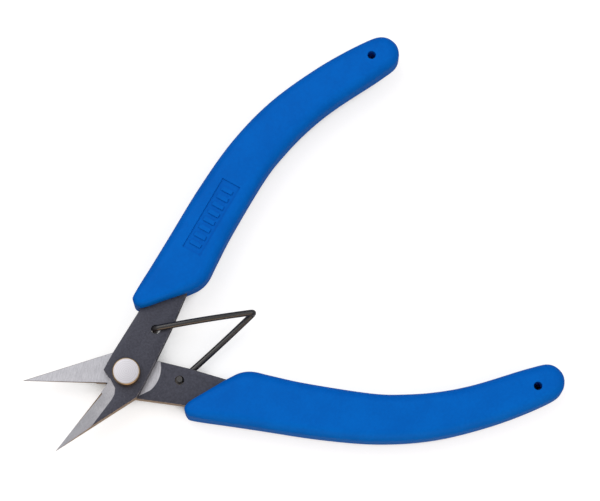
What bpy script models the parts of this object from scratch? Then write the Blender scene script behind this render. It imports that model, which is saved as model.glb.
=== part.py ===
"""Bypass micro shears: two stamped levers on one rivet, moulded grips and a wire return spring.

The origin is on the pivot's axis, at the flat back end of the rivet. +X runs between the handles,
away from the blades. +Y is the side of the front lever's handle. +Z points to the rivet's head.
The tool is modelled open, as its spring holds it.
The rear lever and its grip are the front ones turned over about the X axis, as on the real tool.
"""

import math

import bmesh
import bpy
from mathutils import Vector

MM = 0.001

# Stack of the pivot, from the back: collar, rear lever, front lever, head.
COLLAR_T = 1.4
LEVER_T = 2.4
FACE_GAP = 0.05
CONTACT_Z = COLLAR_T + LEVER_T + 3 * FACE_GAP
HEAD_H = 2.4

# Rivet and collar
SHANK_R = 2.0
HEAD_R = 3.4
HEAD_ROUND = 0.35
COLLAR_R = 3.4
COLLAR_CHAMFER = 0.3
BORE_CLEARANCE = 0.06
ROUND_STEPS = 48

# Return spring, one wire with a hook at each end and a tight bend between its legs. Each hook
# rests against one side of its hole, so its centre is not the hole's.
WIRE_D = 1.5
HOOK_HOLE = (10.9, 6.75)
FRONT_HOOK = (10.68, 6.886)
REAR_HOOK = (10.962, -6.418)
HOOK_BEND_R = 1.2
APEX = (34.193, 0.641)
APEX_BEND_R = 0.85
LEG_DIP = 14.0
LEG_STANDOFF = 0.15
HOOK_HOLE_R = 1.15
HOOK_END_GAP = 0.15
BOW_STEPS = 10
NODE_GAP = 0.3

# Grips
GRIP_T = 9.0
GRIP_EDGE_R = 2.6
MOUTH_EDGE_R = 1.4
POCKET_GAP = 0.3
HANG_HOLE = (88.5, 46.1)
HANG_HOLE_R = 1.05

# Outline of the front lever, seen from the rivet's head. The blade's tip comes first, then its
# spine and the handle's inner edge.
SPINE_AND_INNER = [
    (-23.7, -9.7),
    (-0.4, -6.5),
    (1.2, -5.4),
    (7.8, -0.2),
]
# Middle line and half width of the handle, from its bare part to the tang's end inside the grip
HANDLE = [
    (11.4, 8.7, 4.6),
    (18.9, 14.7, 4.0),
    (26.5, 20.6, 3.8),
    (36.0, 27.5, 3.7),
    (46.0, 34.0, 3.4),
    (57.0, 39.4, 3.2),
    (69.0, 43.1, 2.9),
    (80.0, 44.9, 2.7),
]
# The outer edge, and the notch that parts the cutting edge from it
OUTER_AND_NOTCH = [
    (-1.0, 6.0),
    (-4.7, 3.2),
    (-4.4, 1.5),
    (-4.4, 0.9),
    (-4.8, 0.1),
]
EDGE_START = (-5.6, -0.5)
# Where the ground strip meets the lever's dark face, from the notch to beyond the tip, and how
# deep the grinding is below that face at the cutting edge
GRIND_LINE = [
    (-4.2, 0.4, 0.5),
    (-4.1, -2.2, 0.5),
    (-4.9, -3.5, 0.6),
    (-6.2, -4.5, 0.7),
    (-27.0, -15.6, 2.2),
]
GRIND_REACH = 7.0
GRIND_STRIP = 3.7

# Outline of the front grip, from its front tip along the outer side, round the end and back
GRIP_OUTLINE = [
    (8.8, 15.2),
    (11.0, 17.5),
    (23.1, 25.8),
    (35.6, 34.3),
    (48.0, 41.5),
    (61.0, 46.6),
    (75.6, 49.5),
    (88.3, 50.4),
    (93.5, 49.6),
    (95.6, 46.2),
    (94.0, 42.5),
    (88.8, 41.0),
    (75.5, 39.0),
    (67.0, 36.9),
    (59.1, 33.9),
    (51.5, 30.0),
    (38.4, 21.0),
    (31.5, 15.6),
    (28.0, 12.8),
    (25.3, 11.7),
    (22.3, 11.6),
    (16.0, 12.3),
    (9.9, 13.1),
]
GRIP_SMOOTHING = 3
EDGE_STEPS = 4
MOUTH_RAMP = 7.0

# How far a cutter runs past the solid that it cuts, and the angle above which an edge is sharp
OVERRUN = 1.0
SHARP_ANGLE = 38


# ---------------------------------------------------------------- helpers

def clear_scene():
    for old in list(bpy.data.objects):
        bpy.data.objects.remove(old, do_unlink=True)


def make_material(name, colour, roughness, metallic):
    material = bpy.data.materials.new(name)
    material.use_nodes = True
    shader = material.node_tree.nodes["Principled BSDF"]
    shader.inputs["Base Color"].default_value = (*colour, 1.0)
    shader.inputs["Roughness"].default_value = roughness
    shader.inputs["Metallic"].default_value = metallic
    return material


def make_empty(name, place, turn=0.0):
    empty = bpy.data.objects.new(name, None)
    empty.location = place
    empty.rotation_euler = (turn, 0.0, 0.0)
    bpy.context.collection.objects.link(empty)
    return empty


def finish_mesh(name, bm, parent, material=None):
    bmesh.ops.recalc_face_normals(bm, faces=bm.faces)
    mesh = bpy.data.meshes.new(name)
    bm.to_mesh(mesh)
    bm.free()
    part = bpy.data.objects.new(name, mesh)
    bpy.context.collection.objects.link(part)
    part.parent = parent
    if material is not None:
        mesh.materials.append(material)
    return part


def extrude_outline(outline, low, high):
    """A closed prism over an outline in millimetres, between two heights."""
    bm = bmesh.new()
    corners = [bm.verts.new((x * MM, y * MM, low * MM)) for x, y in outline]
    face = bm.faces.new(corners)
    grown = bmesh.ops.extrude_face_region(bm, geom=[face])
    top = [v for v in grown["geom"] if isinstance(v, bmesh.types.BMVert)]
    bmesh.ops.translate(bm, verts=top, vec=(0.0, 0.0, (high - low) * MM))
    return bm


def turned(name, profile, parent, material=None, place=(0.0, 0.0)):
    """A solid of revolution about a vertical axis; the profile is (radius, height) pairs."""
    bm = bmesh.new()
    points = [bm.verts.new((r * MM, 0.0, z * MM)) for r, z in profile]
    edges = [bm.edges.new(pair) for pair in zip(points, points[1:])]
    if profile[0][0] > 0.0:
        edges.append(bm.edges.new((points[-1], points[0])))
    bmesh.ops.spin(bm, geom=points + edges, cent=(0, 0, 0), axis=(0, 0, 1),
                   angle=math.tau, steps=ROUND_STEPS, use_merge=True)
    bmesh.ops.remove_doubles(bm, verts=bm.verts, dist=0.001 * MM)
    bmesh.ops.translate(bm, verts=bm.verts, vec=(place[0] * MM, place[1] * MM, 0.0))
    part = finish_mesh(name, bm, parent, material)
    part.data.shade_smooth()
    part.data.set_sharp_from_angle(angle=math.radians(SHARP_ANGLE))
    return part


def cut(part, cutter):
    """Cut one solid with another, which is a hidden guide."""
    cutter.hide_render = True
    cutter.display_type = "WIRE"
    boolean = part.modifiers.new("cut_" + cutter.name, "BOOLEAN")
    boolean.operation = "DIFFERENCE"
    boolean.solver = "EXACT"
    boolean.object = cutter


def smooth_closed(points, steps):
    """Points of a smooth closed curve through the given points."""
    smooth = []
    count = len(points)
    for i in range(count):
        p0, p1, p2, p3 = (Vector(points[(i + k) % count]) for k in (-1, 0, 1, 2))
        for k in range(steps):
            t = k / steps
            along = (p2 - p0) * t + (2 * p0 - 5 * p1 + 4 * p2 - p3) * t * t
            along += (3 * p1 - p0 - 3 * p2 + p3) * t ** 3
            smooth.append(tuple(p1 + along / 2))
    return smooth


def arc(centre, radius, start, end, steps):
    """Points on a circle, from one angle in degrees to another, both included."""
    angles = [math.radians(start + (end - start) * k / steps) for k in range(steps + 1)]
    return [(centre[0] + radius * math.cos(a), centre[1] + radius * math.sin(a)) for a in angles]


# ---------------------------------------------------------------- outlines

def handle_sides(grow):
    """Inner side, round end and outer side of the handle and its tang, widened by grow."""
    inner, outer = [], []
    for i, (x, y, half_width) in enumerate(HANDLE):
        before = Vector(HANDLE[max(i - 1, 0)][:2])
        after = Vector(HANDLE[min(i + 1, len(HANDLE) - 1)][:2])
        along = (after - before).normalized()
        across = Vector((-along.y, along.x)) * (half_width + grow)
        inner.append((x - across.x, y - across.y))
        outer.append((x + across.x, y + across.y))
    x, y, half_width = HANDLE[-1]
    heading = math.degrees(math.atan2(along.y, along.x))
    end = arc((x, y), half_width + grow, heading - 90, heading + 90, 8)
    return inner[:-1] + end + outer[-2::-1]


def lever_outline():
    return SPINE_AND_INNER + handle_sides(0.0) + OUTER_AND_NOTCH + [EDGE_START]


def leg_path(hook):
    """Side view of one spring leg as (distance from its hook, height off the contact plane)."""
    length = math.hypot(APEX[0] - hook[0], APEX[1] - hook[1])
    top = FACE_GAP / 2 + LEVER_T + LEG_STANDOFF + WIRE_D / 2
    bend = (length - APEX_BEND_R, NODE_GAP / 2)
    # The leg leaves the lever level, and bows down until it meets the tight bend at LEG_DIP.
    dip = math.radians(LEG_DIP)
    meets = (bend[0] + APEX_BEND_R * math.sin(dip), bend[1] + APEX_BEND_R * math.cos(dip))
    bow = 2 * (top - meets[1]) / math.tan(dip)
    points = [(0.0, FACE_GAP / 2 + HOOK_END_GAP)]
    points += arc((HOOK_BEND_R, top - HOOK_BEND_R), HOOK_BEND_R, 180, 90, 6)
    for k in range(BOW_STEPS):
        along = bow * k / BOW_STEPS
        points.append((meets[0] - bow + along, top - along ** 2 * math.tan(dip) / (2 * bow)))
    points += arc(bend, APEX_BEND_R, 90 - LEG_DIP, 0, 6)
    return length, points


# ---------------------------------------------------------------- pieces

def make_lever(name, arm, material):
    half_gap = FACE_GAP / 2
    top = half_gap + LEVER_T
    lever = finish_mesh(name, extrude_outline(lever_outline(), half_gap, top), arm, material)
    bore = turned(name + "_bore_cutter", [(0, -OVERRUN), (SHANK_R + BORE_CLEARANCE, -OVERRUN),
                  (SHANK_R + BORE_CLEARANCE, top + OVERRUN), (0, top + OVERRUN)], arm)
    hook_hole = turned(name + "_hook_hole_cutter", [(0, -OVERRUN), (HOOK_HOLE_R, -OVERRUN),
                       (HOOK_HOLE_R, top + OVERRUN), (0, top + OVERRUN)], arm, place=HOOK_HOLE)
    for cutter in (bore, hook_hole, make_grinding(name + "_grind_cutter", arm, top)):
        cut(lever, cutter)
    return lever


def make_grinding(name, arm, top):
    """What the grinding wheel takes off: a wedge that deepens from the grind line outwards."""
    bm = bmesh.new()
    tip = Vector(SPINE_AND_INNER[0])
    edge = (Vector(EDGE_START) - tip).normalized()
    outwards = Vector((-edge.y, edge.x))
    rows = []
    for x, y, drop in GRIND_LINE:
        line = Vector((x, y))
        far = line + outwards * GRIND_REACH
        deep = top - drop * GRIND_REACH / GRIND_STRIP
        rows.append([bm.verts.new((p[0] * MM, p[1] * MM, z * MM)) for p, z in
                     ((line, top), (far, deep), (far, top + OVERRUN), (line, top + OVERRUN))])
    for near, nxt in zip(rows, rows[1:]):
        for k in range(4):
            bm.faces.new((near[k], near[(k + 1) % 4], nxt[(k + 1) % 4], nxt[k]))
    bm.faces.new(rows[0])
    bm.faces.new(rows[-1])
    return finish_mesh(name, bm, arm)


def edge_radius(x, y):
    """The grip's edge is tight at the mouth and fully round a little further back."""
    mouth_x = GRIP_OUTLINE[0][0] if y > GRIP_OUTLINE[-1][1] else GRIP_OUTLINE[-2][0]
    ramp = min(max((x - mouth_x) / MOUTH_RAMP, 0.0), 1.0)
    return MOUTH_EDGE_R + (GRIP_EDGE_R - MOUTH_EDGE_R) * ramp


def grip_ring(bm, outline, middle, angle, side):
    """One closed loop of the grip's skin, at an angle round its edge, above or below."""
    ring = []
    for i, point in enumerate(outline):
        along = (Vector(outline[(i + 1) % len(outline)]) - Vector(outline[i - 1])).normalized()
        inwards = Vector((along.y, -along.x))
        radius = edge_radius(*point)
        spot = Vector(point) + inwards * radius * (1 - math.cos(angle))
        height = middle + side * (GRIP_T / 2 - radius * (1 - math.sin(angle)))
        ring.append(bm.verts.new((spot.x * MM, spot.y * MM, height * MM)))
    return ring


def make_grip(name, arm, material):
    middle = FACE_GAP / 2 + LEVER_T / 2
    outline = smooth_closed(GRIP_OUTLINE, GRIP_SMOOTHING)
    bm = bmesh.new()
    angles = [math.pi / 2 * k / EDGE_STEPS for k in range(EDGE_STEPS + 1)]
    rings = [grip_ring(bm, outline, middle, a, -1) for a in angles[::-1]]
    rings += [grip_ring(bm, outline, middle, a, 1) for a in angles]
    for low, high in zip(rings, rings[1:]):
        for i in range(len(low)):
            bm.faces.new((low[i - 1], low[i], high[i], high[i - 1]))
    bm.faces.new(rings[0])
    bm.faces.new(rings[-1])
    grip = finish_mesh(name, bm, arm, material)
    grip.data.shade_smooth()
    grip.data.set_sharp_from_angle(angle=math.radians(SHARP_ANGLE))
    pocket = finish_mesh(name + "_pocket_cutter", extrude_outline(
        handle_sides(POCKET_GAP), FACE_GAP / 2 - POCKET_GAP, FACE_GAP / 2 + LEVER_T + POCKET_GAP), arm)
    ends = (middle - GRIP_T / 2 - OVERRUN, middle + GRIP_T / 2 + OVERRUN)
    hang_hole = turned(name + "_hang_hole_cutter", [(0, ends[0]), (HANG_HOLE_R, ends[0]),
                       (HANG_HOLE_R, ends[1]), (0, ends[1])], arm, place=HANG_HOLE)
    cut(grip, pocket)
    cut(grip, hang_hole)
    return grip


def make_rivet(material):
    seat = CONTACT_Z + FACE_GAP / 2 + LEVER_T + FACE_GAP
    top = seat + HEAD_H
    profile = [(0.0, 0.0), (SHANK_R, 0.0), (SHANK_R, seat), (HEAD_R, seat)]
    profile += arc((HEAD_R - HEAD_ROUND, top - HEAD_ROUND), HEAD_ROUND, 0, 90, 4)
    profile.append((0.0, top))
    return turned("pivot_rivet", profile, None, material)


def make_collar(material):
    bore = SHANK_R + BORE_CLEARANCE
    profile = [(bore, 0.0), (COLLAR_R - COLLAR_CHAMFER, 0.0), (COLLAR_R, COLLAR_CHAMFER),
               (COLLAR_R, COLLAR_T), (bore, COLLAR_T)]
    return turned("pivot_collar", profile, None, material)


def make_leg(name, front, material):
    """One leg of the spring wire, as a round wire along its side view."""
    side, hook = (1, FRONT_HOOK) if front else (-1, REAR_HOOK)
    length, path = leg_path(hook)
    heading = math.atan2(APEX[1] - hook[1], APEX[0] - hook[0])
    start = length if front else 0.0
    curve = bpy.data.curves.new(name, "CURVE")
    curve.dimensions = "3D"
    curve.bevel_depth = WIRE_D / 2 * MM
    curve.bevel_resolution = 3
    curve.use_fill_caps = True
    line = curve.splines.new("POLY")
    line.points.add(len(path) - 1)
    for point, (along, height) in zip(line.points, path):
        point.co = ((along - start) * MM, 0.0, height * side * MM, 1.0)
    curve.materials.append(material)
    leg = bpy.data.objects.new(name, curve)
    bpy.context.collection.objects.link(leg)
    place = APEX if front else hook
    leg.location = (place[0] * MM, place[1] * MM, CONTACT_Z * MM)
    leg.rotation_euler = (0.0, 0.0, heading)
    return leg


def build():
    clear_scene()
    black_steel = make_material("black_oxide_steel", (0.06, 0.06, 0.075), 0.45, 0.7)
    bright_steel = make_material("turned_steel", (0.72, 0.71, 0.70), 0.3, 1.0)
    grip_blue = make_material("blue_grip", (0.0, 0.12, 0.54), 0.4, 0.0)
    spring_black = make_material("black_spring_wire", (0.02, 0.02, 0.025), 0.35, 0.5)
    front_arm = make_empty("front_arm", (0.0, 0.0, CONTACT_Z * MM))
    rear_arm = make_empty("rear_arm", (0.0, 0.0, CONTACT_Z * MM), turn=math.pi)
    make_lever("front_lever", front_arm, black_steel)
    make_lever("rear_lever", rear_arm, black_steel)
    make_grip("front_grip", front_arm, grip_blue)
    make_grip("rear_grip", rear_arm, grip_blue)
    make_rivet(bright_steel)
    make_collar(bright_steel)
    make_leg("spring_front_leg", True, spring_black)
    make_leg("spring_rear_leg", False, spring_black)


build()
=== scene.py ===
"""Looks of a pair of bypass micro shears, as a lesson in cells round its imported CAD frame."""

# %% [markdown]
# # Loading the frame
# The moving parts already exist as plain CAD solids, packed as one model with its joints.
# Everything below is made round that model, in metres, in the same place, so nothing has to be
# fitted by eye. The size of the CAD model is kept and printed.

# %% Load the imported model
import math

import bmesh
import bpy
from mathutils import Matrix, Vector


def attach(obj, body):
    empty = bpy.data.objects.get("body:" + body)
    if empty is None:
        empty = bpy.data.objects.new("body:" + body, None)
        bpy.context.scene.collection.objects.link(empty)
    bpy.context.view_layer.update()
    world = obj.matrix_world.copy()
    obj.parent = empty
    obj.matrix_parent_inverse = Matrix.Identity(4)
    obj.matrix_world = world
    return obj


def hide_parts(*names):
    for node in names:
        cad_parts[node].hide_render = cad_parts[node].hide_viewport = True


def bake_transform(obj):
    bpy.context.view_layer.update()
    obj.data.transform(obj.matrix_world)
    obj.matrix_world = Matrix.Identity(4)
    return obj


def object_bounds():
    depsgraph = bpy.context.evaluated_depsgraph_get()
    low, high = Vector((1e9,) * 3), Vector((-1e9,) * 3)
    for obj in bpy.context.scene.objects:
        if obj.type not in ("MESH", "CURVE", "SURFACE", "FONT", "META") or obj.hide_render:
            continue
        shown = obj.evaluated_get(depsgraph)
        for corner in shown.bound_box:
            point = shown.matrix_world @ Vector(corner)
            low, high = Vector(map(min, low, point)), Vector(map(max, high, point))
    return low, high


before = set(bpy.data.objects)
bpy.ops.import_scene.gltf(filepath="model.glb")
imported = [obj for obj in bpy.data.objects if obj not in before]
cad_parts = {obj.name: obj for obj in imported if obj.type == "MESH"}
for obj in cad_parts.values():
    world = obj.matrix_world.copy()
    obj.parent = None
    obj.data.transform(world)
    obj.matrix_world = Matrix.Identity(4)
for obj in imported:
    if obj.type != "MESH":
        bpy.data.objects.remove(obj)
cad_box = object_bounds()
MM = 0.001
print("CAD box:", cad_box)

# %% [markdown]
# # Dimensions
# These are the driving sizes of the real tool, in millimetres. Both arms are the same parts: the
# rear one is the front one turned over about the X axis. So each shape is described once, with
# heights counted from the plane where the two levers touch.

# %% Stack of the pivot and the wire
COLLAR_T = 1.4
LEVER_T = 2.4
FACE_GAP = 0.05
CONTACT_Z = COLLAR_T + LEVER_T + 3 * FACE_GAP
LEVER_LOW = FACE_GAP / 2
LEVER_TOP = LEVER_LOW + LEVER_T
HEAD_SEAT = CONTACT_Z + LEVER_TOP + FACE_GAP
HEAD_H = 2.4
HEAD_R = 3.4
SHANK_R = 2.0
COLLAR_R = 3.4
BORE_CLEARANCE = 0.06
WIRE_D = 1.5
HOOK_HOLE = (10.9, 6.75)
FRONT_HOOK = (10.68, 6.886)
REAR_HOOK = (10.962, -6.418)
APEX = (34.193, 0.641)
OVERRUN = 1.0
print("levers meet at height", round(CONTACT_Z, 3), "mm")

# %% Outline of the lever
SPINE_AND_INNER = [(-23.7, -9.7), (-0.4, -6.5), (1.2, -5.4), (7.8, -0.2)]
HANDLE = [
    (11.4, 8.7, 4.6), (18.9, 14.7, 4.0), (26.5, 20.6, 3.8), (36.0, 27.5, 3.7),
    (46.0, 34.0, 3.4), (57.0, 39.4, 3.2), (69.0, 43.1, 2.9), (80.0, 44.9, 2.7),
]
OUTER_AND_NOTCH = [(-1.0, 6.0), (-4.7, 3.2), (-4.4, 1.5), (-4.4, 0.9), (-4.8, 0.1)]
EDGE_START = (-5.6, -0.5)
GRIND_LINE = [
    (-4.2, 0.4, 0.5), (-4.1, -2.2, 0.5), (-4.9, -3.5, 0.6), (-6.2, -4.5, 0.7),
    (-27.0, -15.6, 2.2),
]
GRIND_REACH = 7.0
GRIND_STRIP = 3.7

# %% Outline of the grip
GRIP_OUTLINE = [
    (8.8, 15.2), (11.0, 17.5), (23.1, 25.8), (35.6, 34.3), (48.0, 41.5), (61.0, 46.6),
    (75.6, 49.5), (88.3, 50.4), (93.5, 49.6), (95.6, 46.2), (94.0, 42.5), (88.8, 41.0),
    (75.5, 39.0), (67.0, 36.9), (59.1, 33.9), (51.5, 30.0), (38.4, 21.0), (31.5, 15.6),
    (28.0, 12.8), (25.3, 11.7), (22.3, 11.6), (16.0, 12.3), (9.9, 13.1),
]
GRIP_T = 9.0
GRIP_EDGE_R = 2.6
MOUTH_EDGE_R = 1.4
MOUTH_RAMP = 7.0
HANG_HOLE = (88.5, 46.1)
HANG_HOLE_R = 1.05

# %% [markdown]
# # Camera and light
# The tool lies flat and is looked at almost from straight above, so the camera stands high and
# a little to one side. A long lens keeps the handles from spreading apart. The light is a large
# soft key from the upper left, a weak fill from the right, and a low warm card at the near side
# that puts an amber tone on the steel's edges.

# %% Camera
VIEW_AZIMUTH = -25.6
VIEW_ELEVATION = 76.5
VIEW_DISTANCE = 0.640
VIEW_WIDTH = 0.1479
LOOK_AT = Vector((0.0514, 0.0099, 0.00395))
SENSOR = 36.0

azimuth = math.radians(VIEW_AZIMUTH)
elevation = math.radians(VIEW_ELEVATION)
back = Vector((math.sin(azimuth) * math.cos(elevation),
               -math.cos(azimuth) * math.cos(elevation), math.sin(elevation)))
lens = bpy.data.cameras.new("studio_camera")
lens.sensor_width = SENSOR
lens.lens = SENSOR * VIEW_DISTANCE / VIEW_WIDTH
camera = bpy.data.objects.new("studio_camera", lens)
bpy.context.scene.collection.objects.link(camera)
camera.location = LOOK_AT + back * VIEW_DISTANCE
camera.rotation_euler = (-back).to_track_quat("-Z", "Y").to_euler()
bpy.context.scene.camera = camera
camera_up = camera.rotation_euler.to_matrix() @ Vector((0, 1, 0))
camera_right = camera.rotation_euler.to_matrix() @ Vector((1, 0, 0))
print("lens", round(lens.lens, 1), "mm")


# %% Lights
def soft_light(name, place, size, power, colour):
    """A square soft box that faces the tool."""
    lamp = bpy.data.lights.new(name, "AREA")
    lamp.shape = "SQUARE"
    lamp.size = size
    lamp.energy = power
    lamp.color = colour
    holder = bpy.data.objects.new(name, lamp)
    bpy.context.scene.collection.objects.link(holder)
    holder.location = place
    holder.rotation_euler = (LOOK_AT - place).to_track_quat("-Z", "Y").to_euler()


UP = Vector((0.0, 0.0, 1.0))
soft_light("key_box", LOOK_AT + camera_up * 0.32 - camera_right * 0.30 + UP * 0.60,
           size=0.60, power=1.9, colour=(1.0, 0.985, 0.96))
soft_light("fill_box", LOOK_AT + camera_right * 0.45 + UP * 0.45,
           size=0.5, power=0.5, colour=(0.94, 0.96, 1.0))
soft_light("warm_card", LOOK_AT - camera_up * 0.28 + camera_right * 0.05 + UP * 0.10,
           size=0.30, power=0.55, colour=(1.0, 0.66, 0.36))

# %% [markdown]
# # Surround and floor
# The surround is bright overhead and dimmer towards the sides, so a face that is tilted away
# from the top darkens. A floor that is really white throws so much light up that the sides of
# the tool lose their shade. So the paper is only pale grey to the light, and its glow is seen
# by the camera alone. The glow fades where the tool closes over the paper, so a small hole
# still looks dark.

# %% Surround and floor
world = bpy.data.worlds.new("pale_surround")
world.use_nodes = True
surround = world.node_tree.nodes["Background"]
surround.inputs["Color"].default_value = (1.0, 1.0, 1.0, 1.0)
SIDE_LIGHT = 0.22
OVERHEAD_LIGHT = 0.96
sky = world.node_tree
sky_way = sky.nodes.new("ShaderNodeTexCoord")
sky_height = sky.nodes.new("ShaderNodeSeparateXYZ")
sky_level = sky.nodes.new("ShaderNodeMapRange")
sky_level.inputs["To Min"].default_value = SIDE_LIGHT
sky_level.inputs["To Max"].default_value = OVERHEAD_LIGHT
sky.links.new(sky_way.outputs["Generated"], sky_height.inputs[0])
sky.links.new(sky_height.outputs["Z"], sky_level.inputs["Value"])
sky.links.new(sky_level.outputs["Result"], surround.inputs["Strength"])
bpy.context.scene.world = world
bpy.context.scene.view_settings.view_transform = "Standard"

FLOOR_SIZE = 1.5
FLOOR_GAP = 0.05 * MM
PAPER_GREY = (0.45, 0.45, 0.46)
PAPER_ROUGHNESS = 0.9
floor_mesh = bmesh.new()
bmesh.ops.create_grid(floor_mesh, x_segments=1, y_segments=1, size=FLOOR_SIZE)
bmesh.ops.translate(floor_mesh, verts=floor_mesh.verts, vec=(0, 0, cad_box[0][2] - FLOOR_GAP))
floor_data = bpy.data.meshes.new("floor")
floor_mesh.to_mesh(floor_data)
floor_mesh.free()
floor = bpy.data.objects.new("floor", floor_data)
bpy.context.scene.collection.objects.link(floor)
paper = bpy.data.materials.new("floor_paper")
paper.use_nodes = True
paper_shader = paper.node_tree.nodes["Principled BSDF"]
paper_shader.inputs["Base Color"].default_value = (*PAPER_GREY, 1.0)
paper_shader.inputs["Roughness"].default_value = PAPER_ROUGHNESS
paper_shader.inputs["Specular IOR Level"].default_value = 0.0
paper_shader.inputs["Emission Color"].default_value = (1.0, 1.0, 1.0, 1.0)
PAPER_GLOW = 0.66
COVER_REACH = 12.0 * MM
COVERED = 0.28
OPEN = 0.46
# The ambient occlusion fade dims the glow under the tool and in its holes: a painted shade on the
# paper.
cover = paper.node_tree.nodes.new("ShaderNodeAmbientOcclusion")
cover.inputs["Distance"].default_value = COVER_REACH
showing = paper.node_tree.nodes.new("ShaderNodeMapRange")
showing.inputs["From Min"].default_value = COVERED
showing.inputs["From Max"].default_value = OPEN
showing.inputs["To Max"].default_value = PAPER_GLOW
seen = paper.node_tree.nodes.new("ShaderNodeLightPath")
glow = paper.node_tree.nodes.new("ShaderNodeMath")
glow.operation = "MULTIPLY"
paper.node_tree.links.new(cover.outputs["AO"], showing.inputs["Value"])
paper.node_tree.links.new(showing.outputs["Result"], glow.inputs[0])
paper.node_tree.links.new(seen.outputs["Is Camera Ray"], glow.inputs[1])
paper.node_tree.links.new(glow.outputs[0], paper_shader.inputs["Emission Strength"])
floor_data.materials.append(paper)
print("floor at", cad_box[0][2])

# %% [markdown]
# # Shared surface effects
# A flat colour looks like plastic film. Real surfaces vary at several sizes at once, so these
# node groups are built once and placed in each material with its own values: a mottle at two
# sizes, for colour, roughness and bump, and an edge mask that finds the rounded edges, where a
# finish wears first.


# %% Helpers for node groups
def new_group(name, inputs, outputs):
    """A shader node group with float inputs {name: value} and named outputs [(name, type)]."""
    group = bpy.data.node_groups.new(name, "ShaderNodeTree")
    for label, value in inputs.items():
        socket = group.interface.new_socket(label, in_out="INPUT", socket_type="NodeSocketFloat")
        socket.default_value = value
    for label, kind in outputs:
        group.interface.new_socket(label, in_out="OUTPUT", socket_type=kind)
    return group, group.nodes.new("NodeGroupInput"), group.nodes.new("NodeGroupOutput")


def math_node(tree, operation, first, second=None):
    """A Math node whose operands are sockets or plain numbers."""
    node = tree.nodes.new("ShaderNodeMath")
    node.operation = operation
    for slot, value in enumerate((first, second)):
        if value is None:
            continue
        if isinstance(value, (int, float)):
            node.inputs[slot].default_value = value
        else:
            tree.links.new(value, node.inputs[slot])
    return node.outputs[0]


def remap(tree, value, low, high, to_low=0.0, to_high=1.0):
    """Map a value smoothly from one range to another."""
    node = tree.nodes.new("ShaderNodeMapRange")
    node.interpolation_type = "SMOOTHSTEP"
    tree.links.new(value, node.inputs["Value"])
    numbers = {"From Min": low, "From Max": high, "To Min": to_low, "To Max": to_high}
    for label, number in numbers.items():
        if isinstance(number, (int, float)):
            node.inputs[label].default_value = number
        else:
            tree.links.new(number, node.inputs[label])
    return node.outputs["Result"]


def noise(tree, scale, detail=4.0, place=None):
    """Noise over Object coordinates, with the scale in bumps per metre."""
    node = tree.nodes.new("ShaderNodeTexNoise")
    node.inputs["Detail"].default_value = detail
    if isinstance(scale, (int, float)):
        node.inputs["Scale"].default_value = scale
    else:
        tree.links.new(scale, node.inputs["Scale"])
    if place is None:
        place = tree.nodes.new("ShaderNodeTexCoord").outputs["Object"]
    tree.links.new(place, node.inputs["Vector"])
    return node.outputs["Fac"]


# %% Mottle and edge mask
BROAD_SHARE = 0.6
FINE_SHARE = 0.4
mottle, m_in, m_out = new_group("mottle", {"Size per m": 900.0, "Fine per m": 5200.0},
                                [("Value", "NodeSocketFloat")])
broad = noise(mottle, m_in.outputs["Size per m"])
fine = noise(mottle, m_in.outputs["Fine per m"], detail=2.0)
mottle.links.new(math_node(mottle, "ADD", math_node(mottle, "MULTIPLY", broad, BROAD_SHARE),
                           math_node(mottle, "MULTIPLY", fine, FINE_SHARE)), m_out.inputs["Value"])

edge_mask, e_in, e_out = new_group("edge_mask", {"Flat above": 0.97, "Wall below": 0.12,
                                                 "Patchiness per m": 700.0},
                                   [("Mask", "NodeSocketFloat")])
normal = edge_mask.nodes.new("ShaderNodeNewGeometry").outputs["Normal"]
split = edge_mask.nodes.new("ShaderNodeSeparateXYZ")
edge_mask.links.new(normal, split.inputs[0])
upright = math_node(edge_mask, "ABSOLUTE", split.outputs["Z"])
not_wall = math_node(edge_mask, "GREATER_THAN", upright, e_in.outputs["Wall below"])
not_flat = math_node(edge_mask, "LESS_THAN", upright, e_in.outputs["Flat above"])
patches = remap(edge_mask, noise(edge_mask, e_in.outputs["Patchiness per m"]), 0.38, 0.62)
edge_mask.links.new(math_node(edge_mask, "MULTIPLY", math_node(edge_mask, "MULTIPLY",
                    not_wall, not_flat), patches), e_out.inputs["Mask"])
print("node groups:", [g.name for g in bpy.data.node_groups])


# %% Helpers for materials
def new_material(name, roughness, metallic):
    """A material with a Principled shader, and the tree and shader to build on."""
    material = bpy.data.materials.new(name)
    material.use_nodes = True
    shader = material.node_tree.nodes["Principled BSDF"]
    shader.inputs["Roughness"].default_value = roughness
    shader.inputs["Metallic"].default_value = metallic
    return material, material.node_tree, shader


def place_group(tree, group, **values):
    """Put a node group in a tree with its own input values, and return its value."""
    node = tree.nodes.new("ShaderNodeGroup")
    node.node_tree = group
    for label, value in values.items():
        node.inputs[label.replace("_", " ")].default_value = value
    return node.outputs[0]


def mix_colour(tree, factor, first, second):
    """Mix two colours, each a socket or plain numbers, by a factor."""
    node = tree.nodes.new("ShaderNodeMix")
    node.data_type = "RGBA"
    tree.links.new(factor, node.inputs["Factor"])
    for label, value in (("A", first), ("B", second)):
        socket = next(s for s in node.inputs if s.name == label and s.type == "RGBA")
        if isinstance(value, tuple):
            socket.default_value = (*value, 1.0)
        else:
            tree.links.new(value, socket)
    return next(s for s in node.outputs if s.type == "RGBA")


def bump(tree, shader, height, distance, strength=1.0):
    """Feed a height into the shader as a bump of the given distance and strength."""
    node = tree.nodes.new("ShaderNodeBump")
    node.inputs["Strength"].default_value = strength
    node.inputs["Distance"].default_value = distance
    tree.links.new(height, node.inputs["Height"])
    tree.links.new(node.outputs["Normal"], shader.inputs["Normal"])


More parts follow.
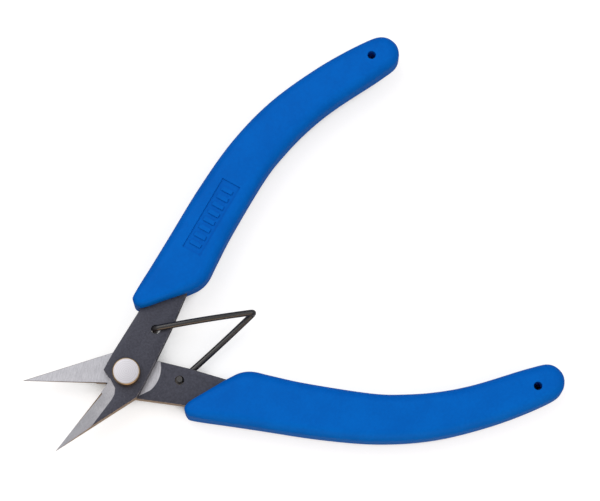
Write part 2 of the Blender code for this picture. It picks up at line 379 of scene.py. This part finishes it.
def streaks(tree, along_degrees, across_scale, along_scale):
    """Noise drawn out along one direction in the XY plane, for grinding and polishing marks."""
    place = tree.nodes.new("ShaderNodeTexCoord").outputs["Object"]
    turn = tree.nodes.new("ShaderNodeMapping")
    turn.inputs["Rotation"].default_value = (0.0, 0.0, -math.radians(along_degrees))
    tree.links.new(place, turn.inputs["Vector"])
    squeeze = tree.nodes.new("ShaderNodeMapping")
    squeeze.inputs["Scale"].default_value = (along_scale, across_scale, across_scale)
    tree.links.new(turn.outputs["Vector"], squeeze.inputs["Vector"])
    return noise(tree, 1.0, detail=3.0, place=squeeze.outputs["Vector"])


# %% [markdown]
# # Black oxide steel
# The levers are blanked from 2.4 mm tool steel and given a black oxide. It is thin and blue
# grey rather than black, slightly mottled, and it rubs through to bright metal in tiny specks on
# the edges. Black oxide could be a dark paint, but paint hides the metal under it, so a half
# metallic shader with its own noise is used.

# %% Black oxide
OXIDE_DARK = (0.025, 0.026, 0.039)
OXIDE_LIGHT = (0.053, 0.055, 0.077)
WORN_STEEL = (0.42, 0.41, 0.43)
WORN_SHARE = 0.30
SPECK_SHARE = 0.5
SPECK_FROM, SPECK_TO = 0.78, 0.82
OXIDE_ROUGHNESS = (0.36, 0.54)
black_oxide, tree, shader = new_material("black_oxide", 0.42, 0.55)
cloud = place_group(tree, mottle, Size_per_m=1900.0, Fine_per_m=7000.0)
edges = place_group(tree, edge_mask, Patchiness_per_m=2600.0)
oxide_tone = mix_colour(tree, remap(tree, cloud, 0.3, 0.7), OXIDE_DARK, OXIDE_LIGHT)
worn = math_node(tree, "MULTIPLY", edges, WORN_SHARE)
speck = remap(tree, noise(tree, 2300.0, detail=1.0), SPECK_FROM, SPECK_TO)
worn_or_speck = math_node(tree, "MAXIMUM", worn,
                          math_node(tree, "MULTIPLY", speck, SPECK_SHARE))
tree.links.new(mix_colour(tree, worn_or_speck, oxide_tone, WORN_STEEL),
               shader.inputs["Base Color"])
tree.links.new(remap(tree, cloud, 0.25, 0.75, *OXIDE_ROUGHNESS), shader.inputs["Roughness"])
bump(tree, shader, cloud, 0.03 * MM, 0.35)

# %% Dark bores
# The same oxide, dull because nothing rubs the inside of a hole, and made far darker: a painted
# shade inside the bores.
BORE_DARK = (0.006, 0.006, 0.008)
BORE_LIGHT = (0.018, 0.018, 0.022)
bore_painted_shade, tree, shader = new_material("bore_painted_shade", 0.85, 0.1)
cloud = place_group(tree, mottle, Size_per_m=2500.0, Fine_per_m=9000.0)
tree.links.new(mix_colour(tree, cloud, BORE_DARK, BORE_LIGHT), shader.inputs["Base Color"])
bump(tree, shader, cloud, 0.02 * MM, 0.3)

# %% [markdown]
# # Ground steel
# The blades are ground after the oxide, so their faces show clean grey steel with fine slanting
# streaks from the wheel. The walls' faint straw tint is a painted warm reflection.
# The streaks are one noise stretched along the wheel's direction, which feeds colour,
# roughness and a very shallow bump together, as a real scratch does.

# %% Ground steel
GROUND_DARK = (0.40, 0.40, 0.44)
GROUND_LIGHT = (0.66, 0.66, 0.71)
PAINTED_WARM_REFLECTION = (1.0, 0.74, 0.48)
CLEAN = (1.0, 1.0, 1.0)
MARKS_ACROSS = 14000.0
MARKS_ALONG = 700.0
MARK_SHARE = 0.7
CLOUD_SHARE = 0.3


def ground_steel(name, direction, roughness, metallic, brightness, tint=CLEAN):
    """Steel with grinding marks that run in one direction, in degrees from X."""
    material, tree, shader = new_material(name, roughness, metallic)
    marks = streaks(tree, direction, MARKS_ACROSS, MARKS_ALONG)
    cloud = place_group(tree, mottle, Size_per_m=420.0, Fine_per_m=2500.0)
    blend = math_node(tree, "ADD", math_node(tree, "MULTIPLY", marks, MARK_SHARE),
                      math_node(tree, "MULTIPLY", cloud, CLOUD_SHARE))
    tone = mix_colour(tree, remap(tree, blend, 0.32, 0.68),
                      tuple(c * t * brightness for c, t in zip(GROUND_DARK, tint)),
                      tuple(c * t * brightness for c, t in zip(GROUND_LIGHT, tint)))
    tree.links.new(tone, shader.inputs["Base Color"])
    tree.links.new(remap(tree, marks, 0.3, 0.7, roughness - 0.06, roughness + 0.08),
                   shader.inputs["Roughness"])
    bump(tree, shader, marks, 0.012 * MM, 0.5)
    return material


tip_x, tip_y = SPINE_AND_INNER[0]
EDGE_DIRECTION = math.degrees(math.atan2(EDGE_START[1] - tip_y, EDGE_START[0] - tip_x))
strip_steel = ground_steel("ground_strip_steel", EDGE_DIRECTION + 68,
                           roughness=0.58, metallic=0.55, brightness=0.72)
# The facet's steel is darkened to a brightness of 0.11: a painted shade along the cutting edge.
facet_steel_painted_shade = ground_steel("ground_facet_painted_shade", EDGE_DIRECTION + 90,
                           roughness=0.40, metallic=0.85, brightness=0.11)
face_steel = ground_steel("ground_face_steel", EDGE_DIRECTION + 30,
                          roughness=0.46, metallic=0.80, brightness=0.77)
# The straw tint on these walls is a painted warm reflection, not a heat tint.
wall_steel = ground_steel("blanked_wall_steel", 0.0,
                          roughness=0.42, metallic=0.90, brightness=0.95, tint=PAINTED_WARM_REFLECTION)
print("blade edge runs at", round(EDGE_DIRECTION, 1), "degrees")

# %% [markdown]
# # Turned steel
# The rivet and its collar are turned, so the marks are rings about the pivot's axis. A wave of
# the distance from that axis gives them, broken up a little by noise. Past the face's radius the
# colour is warmer: a painted warm reflection on the rim.

# %% Turned steel
TURNED_DARK = (0.41, 0.40, 0.43)
TURNED_LIGHT = (0.48, 0.47, 0.50)
TURNED_ROUGHNESS = (0.33, 0.41)
PAINTED_WARM_RIM_REFLECTION = (0.33, 0.24, 0.15)
RIM_FROM, RIM_TO = 3.02 * MM, 3.08 * MM
RING_TURNS = 14000.0
RING_WOBBLE = 0.35 * MM
RING_SHARE = 0.45
turned_steel, tree, shader = new_material("turned_steel", 0.30, 1.0)
place = tree.nodes.new("ShaderNodeTexCoord").outputs["Object"]
apart = tree.nodes.new("ShaderNodeSeparateXYZ")
tree.links.new(place, apart.inputs[0])
squares = [math_node(tree, "MULTIPLY", apart.outputs[k], apart.outputs[k]) for k in ("X", "Y")]
radius = math_node(tree, "SQRT", math_node(tree, "ADD", *squares))
wobble = math_node(tree, "MULTIPLY", noise(tree, 900.0), RING_WOBBLE)
rings = math_node(tree, "SINE", math_node(tree, "MULTIPLY", math_node(tree, "ADD", radius, wobble),
                                          RING_TURNS))
ring_value = remap(tree, rings, -1.0, 1.0)
cloud = place_group(tree, mottle, Size_per_m=900.0, Fine_per_m=6000.0)
shine = math_node(tree, "ADD", math_node(tree, "MULTIPLY", ring_value, RING_SHARE),
                  math_node(tree, "MULTIPLY", cloud, 1 - RING_SHARE))
turned_tone = mix_colour(tree, remap(tree, shine, 0.25, 0.75), TURNED_DARK, TURNED_LIGHT)
# Past the face's radius the colour turns to the rim colour, a painted warm reflection.
tree.links.new(mix_colour(tree, remap(tree, radius, RIM_FROM, RIM_TO), turned_tone, PAINTED_WARM_RIM_REFLECTION),
               shader.inputs["Base Color"])
tree.links.new(remap(tree, cloud, 0.3, 0.7, *TURNED_ROUGHNESS), shader.inputs["Roughness"])
bump(tree, shader, ring_value, 0.003 * MM, 0.3)

# %% [markdown]
# # Grip plastic and spring wire
# The grips are a satin blue moulding: a soft shell with a very fine spark texture from the
# mould. The wire is drawn spring steel with a black finish, so its marks run along its length.

# %% Moulded blue
GRIP_BLUE = (0.0, 0.100, 0.46)
GRIP_BLUE_LIGHT = (0.0, 0.118, 0.52)
GRIP_ROUGHNESS = (0.38, 0.47)
moulded_blue, tree, shader = new_material("moulded_blue", 0.42, 0.0)
shader.inputs["Specular IOR Level"].default_value = 0.03
cloud = place_group(tree, mottle, Size_per_m=160.0, Fine_per_m=1500.0)
spark = noise(tree, 9000.0, detail=2.0)
tree.links.new(mix_colour(tree, remap(tree, cloud, 0.3, 0.7), GRIP_BLUE, GRIP_BLUE_LIGHT),
               shader.inputs["Base Color"])
tree.links.new(remap(tree, cloud, 0.3, 0.7, *GRIP_ROUGHNESS), shader.inputs["Roughness"])
bump(tree, shader, spark, 0.02 * MM, 0.22)

# %% Black wire
WIRE_DARK = (0.005, 0.004, 0.005)
WIRE_LIGHT = (0.012, 0.010, 0.012)
WIRE_ROUGHNESS = (0.20, 0.30)
black_wire, tree, shader = new_material("black_wire", 0.30, 0.0)
shader.inputs["Specular IOR Level"].default_value = 0.65
drawn = streaks(tree, 0.0, 7000.0, 1500.0)
tree.links.new(mix_colour(tree, remap(tree, drawn, 0.3, 0.7), WIRE_DARK, WIRE_LIGHT),
               shader.inputs["Base Color"])
tree.links.new(remap(tree, drawn, 0.3, 0.7, *WIRE_ROUGHNESS), shader.inputs["Roughness"])
bump(tree, shader, drawn, 0.01 * MM, 0.4)
print("materials:", [m.name for m in bpy.data.materials])

# %% [markdown]
# # Tools for shaping
# Each piece starts from a face or a profile and is shaped by the operators that a maker would
# think of: push a blank out to its thickness, round its rims, and cut it with a wheel or a
# drill. Cuts are Boolean modifiers that are applied at once, so a finished piece is a mesh.


# %% Shaping helpers
MERGE = 0.001 * MM
WALL_TILT = 0.3
FLAT_TILT = 0.9


def arc(centre, radius, start, end, steps):
    """Points on a circle, from one angle in degrees to another, both included."""
    angles = [math.radians(start + (end - start) * k / steps) for k in range(steps + 1)]
    return [(centre[0] + radius * math.cos(a), centre[1] + radius * math.sin(a)) for a in angles]


def smooth_closed(points, steps):
    """Points of a smooth closed curve through the given points."""
    smooth = []
    count = len(points)
    for i in range(count):
        p0, p1, p2, p3 = (Vector(points[(i + k) % count]) for k in (-1, 0, 1, 2))
        for k in range(steps):
            t = k / steps
            along = (p2 - p0) * t + (2 * p0 - 5 * p1 + 4 * p2 - p3) * t * t
            along += (3 * p1 - p0 - 3 * p2 + p3) * t ** 3
            smooth.append(tuple(p1 + along / 2))
    return smooth


def plate(outline, low, high):
    """A blank of even thickness over an outline, in millimetres."""
    bm = bmesh.new()
    face = bm.faces.new([bm.verts.new((x * MM, y * MM, low * MM)) for x, y in outline])
    grown = bmesh.ops.extrude_face_region(bm, geom=[face])
    top = [v for v in grown["geom"] if isinstance(v, bmesh.types.BMVert)]
    bmesh.ops.translate(bm, verts=top, vec=(0, 0, (high - low) * MM))
    bmesh.ops.recalc_face_normals(bm, faces=bm.faces)
    return bm


def rims(bm):
    """The edges where the flat top or bottom meets a wall."""
    found = []
    for edge in bm.edges:
        tilts = sorted(abs(f.normal.z) for f in edge.link_faces)
        if len(tilts) == 2 and tilts[0] < WALL_TILT and tilts[1] > FLAT_TILT:
            found.append(edge)
    return found


def round_off(bm, edges, width, segments=3):
    """Round the given edges to a width in millimetres."""
    bmesh.ops.bevel(bm, geom=edges, offset=width * MM, offset_type="OFFSET", segments=segments,
                    profile=0.5, affect="EDGES", clamp_overlap=True, material=-1)


def lathe(profile, steps=96, place=(0.0, 0.0)):
    """A solid turned about a vertical axis; the profile is (radius, height) pairs."""
    bm = bmesh.new()
    points = [bm.verts.new((r * MM, 0.0, z * MM)) for r, z in profile]
    edges = [bm.edges.new(pair) for pair in zip(points, points[1:])]
    if profile[0][0] > 0.0:
        edges.append(bm.edges.new((points[-1], points[0])))
    bmesh.ops.spin(bm, geom=points + edges, cent=(0, 0, 0), axis=(0, 0, 1),
                   angle=math.tau, steps=steps, use_merge=True)
    bmesh.ops.remove_doubles(bm, verts=bm.verts, dist=MERGE)
    bmesh.ops.translate(bm, verts=bm.verts, vec=(place[0] * MM, place[1] * MM, 0.0))
    bmesh.ops.recalc_face_normals(bm, faces=bm.faces)
    return bm


def make_piece(name, bm, *materials):
    """Turn a bmesh into an object in the scene with the given materials."""
    mesh = bpy.data.meshes.new(name)
    bm.to_mesh(mesh)
    bm.free()
    piece = bpy.data.objects.new(name, mesh)
    bpy.context.scene.collection.objects.link(piece)
    for material in materials:
        mesh.materials.append(material)
    return piece


def bake_modifiers(piece):
    """Replace the piece's mesh with what its modifiers make of it."""
    bpy.context.view_layer.update()
    final = bpy.data.meshes.new_from_object(
        piece.evaluated_get(bpy.context.evaluated_depsgraph_get()))
    piece.modifiers.clear()
    piece.data = final


def cut(piece, bm, material):
    """Cut the piece with a solid; the cut faces take the cutter's finish."""
    cutter = make_piece("cutter", bm, material)
    boolean = piece.modifiers.new("cut", "BOOLEAN")
    boolean.operation = "DIFFERENCE"
    boolean.solver = "EXACT"
    boolean.material_mode = "TRANSFER"
    boolean.object = cutter
    bake_modifiers(piece)
    bpy.data.objects.remove(cutter, do_unlink=True)


def soften(piece, sharp_degrees=32):
    """Shade a piece smooth, except where it turns by more than the given angle."""
    piece.data.shade_smooth()
    piece.data.set_sharp_from_angle(angle=math.radians(sharp_degrees))


def set_in_place(piece, turned_over):
    """Move a piece from its arm's own frame into the tool, keeping the object at the origin."""
    bm = bmesh.new()
    bm.from_mesh(piece.data)
    if turned_over:
        bmesh.ops.scale(bm, verts=bm.verts, vec=(1.0, -1.0, -1.0))
    bmesh.ops.translate(bm, verts=bm.verts, vec=(0.0, 0.0, CONTACT_Z * MM))
    bm.to_mesh(piece.data)
    bm.free()


def report(piece):
    """Print a piece's face count and size."""
    print(piece.name, len(piece.data.polygons), "faces",
          [round(d / MM, 2) for d in piece.dimensions], "mm")


# %% [markdown]
# # The levers
# A real lever is blanked from sheet, tumbled so its rims round off, drilled, and then ground:
# once across the whole inside of the blade, once as a strip along the outside of the edge, and
# last as a very narrow facet that makes the edge itself. Working in that same order gives each
# ground surface its crisp border for free.

# %% Lever outline
HANDLE_END_STEPS = 12


def handle_sides(grow):
    """Inner side, round end and outer side of the handle and its tang, widened by grow."""
    inner, outer = [], []
    for i, (x, y, half_width) in enumerate(HANDLE):
        before = Vector(HANDLE[max(i - 1, 0)][:2])
        after = Vector(HANDLE[min(i + 1, len(HANDLE) - 1)][:2])
        along = (after - before).normalized()
        across = Vector((-along.y, along.x)) * (half_width + grow)
        inner.append((x - across.x, y - across.y))
        outer.append((x + across.x, y + across.y))
    x, y, half_width = HANDLE[-1]
    heading = math.degrees(math.atan2(along.y, along.x))
    end = arc((x, y), half_width + grow, heading - 90, heading + 90, HANDLE_END_STEPS)
    return inner[:-1] + end + outer[-2::-1]


LEVER_OUTLINE = SPINE_AND_INNER + handle_sides(0.0) + OUTER_AND_NOTCH + [EDGE_START]
BLADE_TIP = Vector(SPINE_AND_INNER[0])
EDGE_ALONG = (Vector(EDGE_START) - BLADE_TIP).normalized()
EDGE_OUTWARDS = Vector((-EDGE_ALONG.y, EDGE_ALONG.x))

# %% Grinding wheels
RIM_ROUND = 0.16
HOLLOW_CENTRE = (1.5, -1.2)
HOLLOW_R = 7.35
HOLLOW_DEPTH = 0.03
HOLLOW_ARC = 75
HOLLOW_STEPS = 28
HOLLOW_HEEL = 6.0
PAST_TIP = -30.0
ABOVE_EDGE = 6.0
BELOW_SPINE = -20.0
FACET_FROM = 3
FACET_WIDTHS = (0.52, 0.22)
FACET_SLOPE = 1.9
FACET_REACH = 1.5
BARE_WALL_TO = -6.0
BACK_WALL_FROM = -1.5
UPRIGHT_TILT = 0.5
BACK_FACING = 0.6
HOOK_HOLE_R = 1.15


def wheel(sections):
    """A grinding cut through (near, its height, far, its height) sections along the blade."""
    bm = bmesh.new()
    clear = LEVER_TOP + OVERRUN
    rows = [[bm.verts.new((p.x * MM, p.y * MM, z * MM)) for p, z in (
        (near, top), (far, low), (far, clear), (near, clear))] for near, top, far, low in sections]
    for row, following in zip(rows, rows[1:]):
        for k in range(4):
            bm.faces.new((row[k], row[(k + 1) % 4], following[(k + 1) % 4], following[k]))
    bm.faces.new(rows[0])
    bm.faces.new(rows[-1])
    bmesh.ops.recalc_face_normals(bm, faces=bm.faces)
    return bm


def strip_cutter():
    """The wheel that grinds the outside of the edge, deeper outwards from the grind line."""
    sections = []
    for x, y, drop in GRIND_LINE:
        near = Vector((x, y))
        far = near + EDGE_OUTWARDS * GRIND_REACH
        sections.append((near, LEVER_TOP, far, LEVER_TOP - drop * GRIND_REACH / GRIND_STRIP))
    return wheel(sections)


def facet_cutter():
    """The last touch of the stone: a very narrow steep facet along the cutting edge."""
    sections = []
    for (x, y, drop), width in zip(GRIND_LINE[FACET_FROM:], FACET_WIDTHS):
        reach = (Vector(EDGE_START) - Vector((x, y))).dot(EDGE_OUTWARDS) - width
        near = Vector((x, y)) + EDGE_OUTWARDS * reach
        far = near + EDGE_OUTWARDS * FACET_REACH
        top = LEVER_TOP - drop * reach / GRIND_STRIP
        sections.append((near, top, far, top - FACET_SLOPE * FACET_REACH))
    return wheel(sections)


def brighten_walls(lever):
    """The blade's walls and the handle's back are bare steel, blanked after the oxide; their straw
    tint is a painted warm reflection.
    """
    lever.data.materials.append(wall_steel)
    bare = len(lever.data.materials) - 1
    for face in lever.data.polygons:
        upright = abs(face.normal.z) < UPRIGHT_TILT
        on_blade = face.center.x < BARE_WALL_TO * MM
        on_back = face.normal.y > BACK_FACING and face.center.x > BACK_WALL_FROM * MM
        if upright and (on_blade or on_back):
            face.material_index = bare


def hollow_cutter():
    """The wheel that grinds the blade's inside: the blade and a disc round the pivot."""
    x, y = HOLLOW_CENTRE
    outline = arc(HOLLOW_CENTRE, HOLLOW_R, -HOLLOW_ARC, HOLLOW_ARC, HOLLOW_STEPS)
    outline += [(x - HOLLOW_R, y + HOLLOW_R), (PAST_TIP, ABOVE_EDGE), (PAST_TIP, BELOW_SPINE),
                (x - HOLLOW_HEEL, y - HOLLOW_R)]
    return plate(outline, -OVERRUN, LEVER_LOW + HOLLOW_DEPTH)


def make_lever(name, body, node, turned_over):
    """One finished lever: blanked, coated, drilled, ground and put in its place."""
    bm = plate(LEVER_OUTLINE, LEVER_LOW, LEVER_TOP)
    round_off(bm, rims(bm), RIM_ROUND)
    lever = make_piece(name, bm, black_oxide)
    bore_r = SHANK_R + BORE_CLEARANCE
    cut(lever, lathe([(0, -OVERRUN), (bore_r, -OVERRUN), (bore_r, LEVER_TOP + OVERRUN),
                      (0, LEVER_TOP + OVERRUN)]), bore_painted_shade)
    cut(lever, lathe([(0, -OVERRUN), (HOOK_HOLE_R, -OVERRUN), (HOOK_HOLE_R, LEVER_TOP + OVERRUN),
                      (0, LEVER_TOP + OVERRUN)], steps=64, place=HOOK_HOLE), bore_painted_shade)
    cut(lever, strip_cutter(), strip_steel)
    cut(lever, facet_cutter(), facet_steel_painted_shade)
    cut(lever, hollow_cutter(), face_steel)
    brighten_walls(lever)
    soften(lever)
    set_in_place(lever, turned_over)
    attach(lever, body)
    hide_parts(node)
    report(lever)


make_lever("front_lever_finished", "front_arm", "front_lever", turned_over=False)
make_lever("rear_lever_finished", "rear_arm", "rear_lever", turned_over=True)

# %% [markdown]
# # The grips
# Each grip is a moulded handle over the lever's tang, with a flat back and front and a large
# soft rounding all round. The skin is raised from the outline in rings: the last face is
# pushed up again and again, and each new ring is drawn inwards along a quarter circle. The
# rounding is tighter at the mouth, where the steel comes out, so a plain bevel can't make it.

# %% Grip skin
GRIP_SMOOTHING = 7
EDGE_STEPS = 9
MOUTH_GAP = 0.05
GRIP_MIDDLE = FACE_GAP / 2 + LEVER_T / 2


def edge_radius(x, y):
    """The grip's edge is tight at the mouth and fully round a little further back."""
    mouth_x = GRIP_OUTLINE[0][0] if y > GRIP_OUTLINE[-1][1] else GRIP_OUTLINE[-2][0]
    ramp = min(max((x - mouth_x) / MOUTH_RAMP, 0.0), 1.0)
    return MOUTH_EDGE_R + (GRIP_EDGE_R - MOUTH_EDGE_R) * ramp


def ring_places(outline, angle, side):
    """Where the outline's points lie on one ring of the rounding, above or below the middle."""
    places = []
    for i, point in enumerate(outline):
        along = (Vector(outline[(i + 1) % len(outline)]) - Vector(outline[i - 1])).normalized()
        inwards = Vector((along.y, -along.x))
        radius = edge_radius(*point)
        spot = Vector(point) + inwards * radius * (1 - math.cos(angle))
        height = GRIP_MIDDLE + side * (GRIP_T / 2 - radius * (1 - math.sin(angle)))
        places.append(Vector((spot.x * MM, spot.y * MM, height * MM)))
    return places


def grip_skin():
    """The moulded grip's outer skin, before any hole or marking is cut."""
    outline = smooth_closed(GRIP_OUTLINE, GRIP_SMOOTHING)
    angles = [math.pi / 2 * k / EDGE_STEPS for k in range(EDGE_STEPS + 1)]
    levels = [(a, -1) for a in angles[::-1]] + [(a, 1) for a in angles]
    bm = bmesh.new()
    station = bm.verts.layers.int.new("station")
    first = ring_places(outline, *levels[0])
    verts = [bm.verts.new(p) for p in first]
    for i, vert in enumerate(verts):
        vert[station] = i
    face = bm.faces.new(verts)
    for step, (angle, side) in enumerate(levels[1:]):
        lid = face
        grown = bmesh.ops.extrude_face_region(bm, geom=[lid])["geom"]
        if step > 0 and lid.is_valid:
            bmesh.ops.delete(bm, geom=[lid], context="FACES_ONLY")
        places = ring_places(outline, angle, side)
        for vert in (g for g in grown if isinstance(g, bmesh.types.BMVert)):
            vert.co = places[vert[station]]
        face = next(g for g in grown if isinstance(g, bmesh.types.BMFace))
    bmesh.ops.recalc_face_normals(bm, faces=bm.faces)
    return bm


# %% [markdown]
# # The sunk panel
# The front of each grip carries a shallow sunk panel. Here it holds only plain raised bars, so
# it keeps the depth and the texture of a moulded panel and says nothing. The bars are left
# standing: the cutter is a block with slots in it, and it sinks everything but the bars.

# %% Panel cutter
PANEL_CENTRE = Vector((34.9, 25.7))
PANEL_TURN = 35.0
PANEL_LENGTH = 19.8
PANEL_HEIGHT = 5.0
PANEL_DEPTH = 0.40
BAR_COUNT = 8
BAR_WIDTH = 1.1
BAR_HEIGHT = 2.9
BAR_PITCH = 2.2
GRIP_SHARP = 34


def panel_block(centre, length, height, low, high):
    """A small block that lies square with the panel."""
    bm = bmesh.new()
    bmesh.ops.create_cube(bm, size=1.0)
    bmesh.ops.scale(bm, verts=bm.verts, vec=(length * MM, height * MM, (high - low) * MM))
    bmesh.ops.translate(bm, verts=bm.verts, vec=(centre * MM, 0.0, (low + high) / 2 * MM))
    bmesh.ops.rotate(bm, verts=bm.verts, cent=(0, 0, 0),
                     matrix=Matrix.Rotation(math.radians(PANEL_TURN), 3, "Z"))
    bmesh.ops.translate(bm, verts=bm.verts, vec=(*(PANEL_CENTRE * MM), 0.0))
    return bm


def cut_panel(grip):
    """Sink the panel round its raised bars."""
    surface = GRIP_MIDDLE + GRIP_T / 2
    low, high = surface - PANEL_DEPTH, surface + OVERRUN
    block = make_piece("panel_block", panel_block(0.0, PANEL_LENGTH, PANEL_HEIGHT, low, high),
                       moulded_blue)
    for k in range(BAR_COUNT):
        centre = (k - (BAR_COUNT - 1) / 2) * BAR_PITCH
        cut(block, panel_block(centre, BAR_WIDTH, BAR_HEIGHT, low - OVERRUN, high + OVERRUN),
            moulded_blue)
    slotted = bmesh.new()
    slotted.from_mesh(block.data)
    bpy.data.objects.remove(block, do_unlink=True)
    cut(grip, slotted, moulded_blue)


# %% Both grips
def make_grip(name, body, node, turned_over):
    """One finished grip: moulded, hollowed for its lever, marked and put in its place."""
    grip = make_piece(name, grip_skin(), moulded_blue)
    cut(grip, plate(handle_sides(MOUTH_GAP), LEVER_LOW - MOUTH_GAP, LEVER_TOP + MOUTH_GAP),
        moulded_blue)
    low, high = GRIP_MIDDLE - GRIP_T / 2 - OVERRUN, GRIP_MIDDLE + GRIP_T / 2 + OVERRUN
    cut(grip, lathe([(0, low), (HANG_HOLE_R, low), (HANG_HOLE_R, high), (0, high)], steps=48,
                    place=HANG_HOLE), moulded_blue)
    cut_panel(grip)
    soften(grip, GRIP_SHARP)
    set_in_place(grip, turned_over)
    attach(grip, body)
    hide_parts(node)
    report(grip)


make_grip("front_grip_finished", "front_arm", "front_grip", turned_over=False)
make_grip("rear_grip_finished", "rear_arm", "rear_grip", turned_over=True)

# %% [markdown]
# # Rivet and collar
# The pivot is a shouldered rivet: a thick flat head in front, a shank through both levers, and
# a collar behind it that its end is staked into. Both are bodies of revolution, so a profile
# spun about the axis is the same job as the lathe does.

# %% Rivet and collar
HEAD_ROUND = 0.38
STAKE_R = 0.75
STAKE_DEPTH = 0.25
STAKE_FLOOR = 0.6
SHANK_CHAMFER = 0.12
SEAT_CHAMFER = 0.15
BORE_CHAMFER = 0.12
COLLAR_ROUND = 0.3
COLLAR_CHAMFER = 0.08
head_top = HEAD_SEAT + HEAD_H
rivet_profile = [(0.0, STAKE_DEPTH), (STAKE_R * STAKE_FLOOR, STAKE_DEPTH), (STAKE_R, 0.0),
                 (SHANK_R - SHANK_CHAMFER, 0.0), (SHANK_R, SHANK_CHAMFER), (SHANK_R, HEAD_SEAT),
                 (HEAD_R - SEAT_CHAMFER, HEAD_SEAT), (HEAD_R, HEAD_SEAT + SEAT_CHAMFER)]
rivet_profile += arc((HEAD_R - HEAD_ROUND, head_top - HEAD_ROUND), HEAD_ROUND, 0, 90, 8)
rivet_profile.append((0.0, head_top))
rivet = make_piece("pivot_rivet_finished", lathe(rivet_profile), turned_steel)
soften(rivet)
collar_bore = SHANK_R + BORE_CLEARANCE
collar_profile = [(collar_bore, BORE_CHAMFER), (collar_bore + BORE_CHAMFER, 0.0),
                  (COLLAR_R - COLLAR_ROUND, 0.0)]
collar_profile += arc((COLLAR_R - COLLAR_ROUND, COLLAR_ROUND), COLLAR_ROUND, -90, 0, 6)[1:]
collar_profile += [(COLLAR_R, COLLAR_T - COLLAR_CHAMFER), (COLLAR_R - COLLAR_CHAMFER, COLLAR_T),
                   (collar_bore, COLLAR_T)]
collar = make_piece("pivot_collar_finished", lathe(collar_profile), turned_steel)
soften(collar)
for piece, node in ((rivet, "pivot_rivet"), (collar, "pivot_collar")):
    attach(piece, "rear_arm")
    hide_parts(node)
    report(piece)

# %% [markdown]
# # The return spring
# One piece of wire opens the tool. Each end is a short hook in a hole of one lever, and between
# its legs is one tight hairpin. The wire's line is drawn once, leg by leg, and a round section
# runs along it.

# %% Spring wire
HOOK_BEND_R = 1.2
APEX_BEND_R = 0.85
LEG_DIP = 14.0
LEG_STANDOFF = 0.15
HOOK_END_GAP = 0.15
NODE_GAP = 0.3
BOW_STEPS = 24
BEND_STEPS = 10
WIRE_SHARP = 50


def leg_line(side):
    """One leg of the wire from its hook to the middle of the hairpin, as world points."""
    hook = Vector(FRONT_HOOK if side > 0 else REAR_HOOK)
    run = Vector(APEX) - hook
    top = LEVER_LOW + LEVER_T + LEG_STANDOFF + WIRE_D / 2
    bend = (run.length - APEX_BEND_R, NODE_GAP / 2)
    dip = math.radians(LEG_DIP)
    meets = (bend[0] + APEX_BEND_R * math.sin(dip), bend[1] + APEX_BEND_R * math.cos(dip))
    bow = 2 * (top - meets[1]) / math.tan(dip)
    points = [(0.0, LEVER_LOW + HOOK_END_GAP)]
    points += arc((HOOK_BEND_R, top - HOOK_BEND_R), HOOK_BEND_R, 180, 90, BEND_STEPS)
    for k in range(BOW_STEPS):
        along = bow * k / BOW_STEPS
        points.append((meets[0] - bow + along, top - along ** 2 * math.tan(dip) / (2 * bow)))
    points += arc(bend, APEX_BEND_R, 90 - LEG_DIP, 0, BEND_STEPS)
    heading = run.normalized()
    return [Vector((hook.x + heading.x * d, hook.y + heading.y * d, CONTACT_Z + side * h)) * MM
            for d, h in points]


line = leg_line(-1) + leg_line(1)[::-1]
curve = bpy.data.curves.new("spring_line", "CURVE")
curve.dimensions = "3D"
curve.bevel_depth = WIRE_D / 2 * MM
curve.bevel_resolution = 8
curve.use_fill_caps = True
spline = curve.splines.new("POLY")
spline.points.add(len(line) - 1)
for point, place in zip(spline.points, line):
    point.co = (*place, 1.0)
guide = bpy.data.objects.new("spring_line", curve)
bpy.context.scene.collection.objects.link(guide)
bpy.context.view_layer.update()
wire_mesh = bpy.data.meshes.new_from_object(
    guide.evaluated_get(bpy.context.evaluated_depsgraph_get()))
bpy.data.objects.remove(guide, do_unlink=True)
wire_mesh.materials.clear()
wire_mesh.materials.append(black_wire)
spring = bpy.data.objects.new("return_spring", wire_mesh)
bpy.context.scene.collection.objects.link(spring)
bm = bmesh.new()
bm.from_mesh(wire_mesh)
bmesh.ops.remove_doubles(bm, verts=bm.verts, dist=MERGE)
bmesh.ops.recalc_face_normals(bm, faces=bm.faces)
bm.to_mesh(wire_mesh)
bm.free()
soften(spring, WIRE_SHARP)
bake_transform(spring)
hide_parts("spring_front_leg", "spring_rear_leg")
report(spring)

# %% [markdown]
# # Finishing
# The view layer is brought up to date at the end.

# %% Final update
bpy.context.view_layer.update()
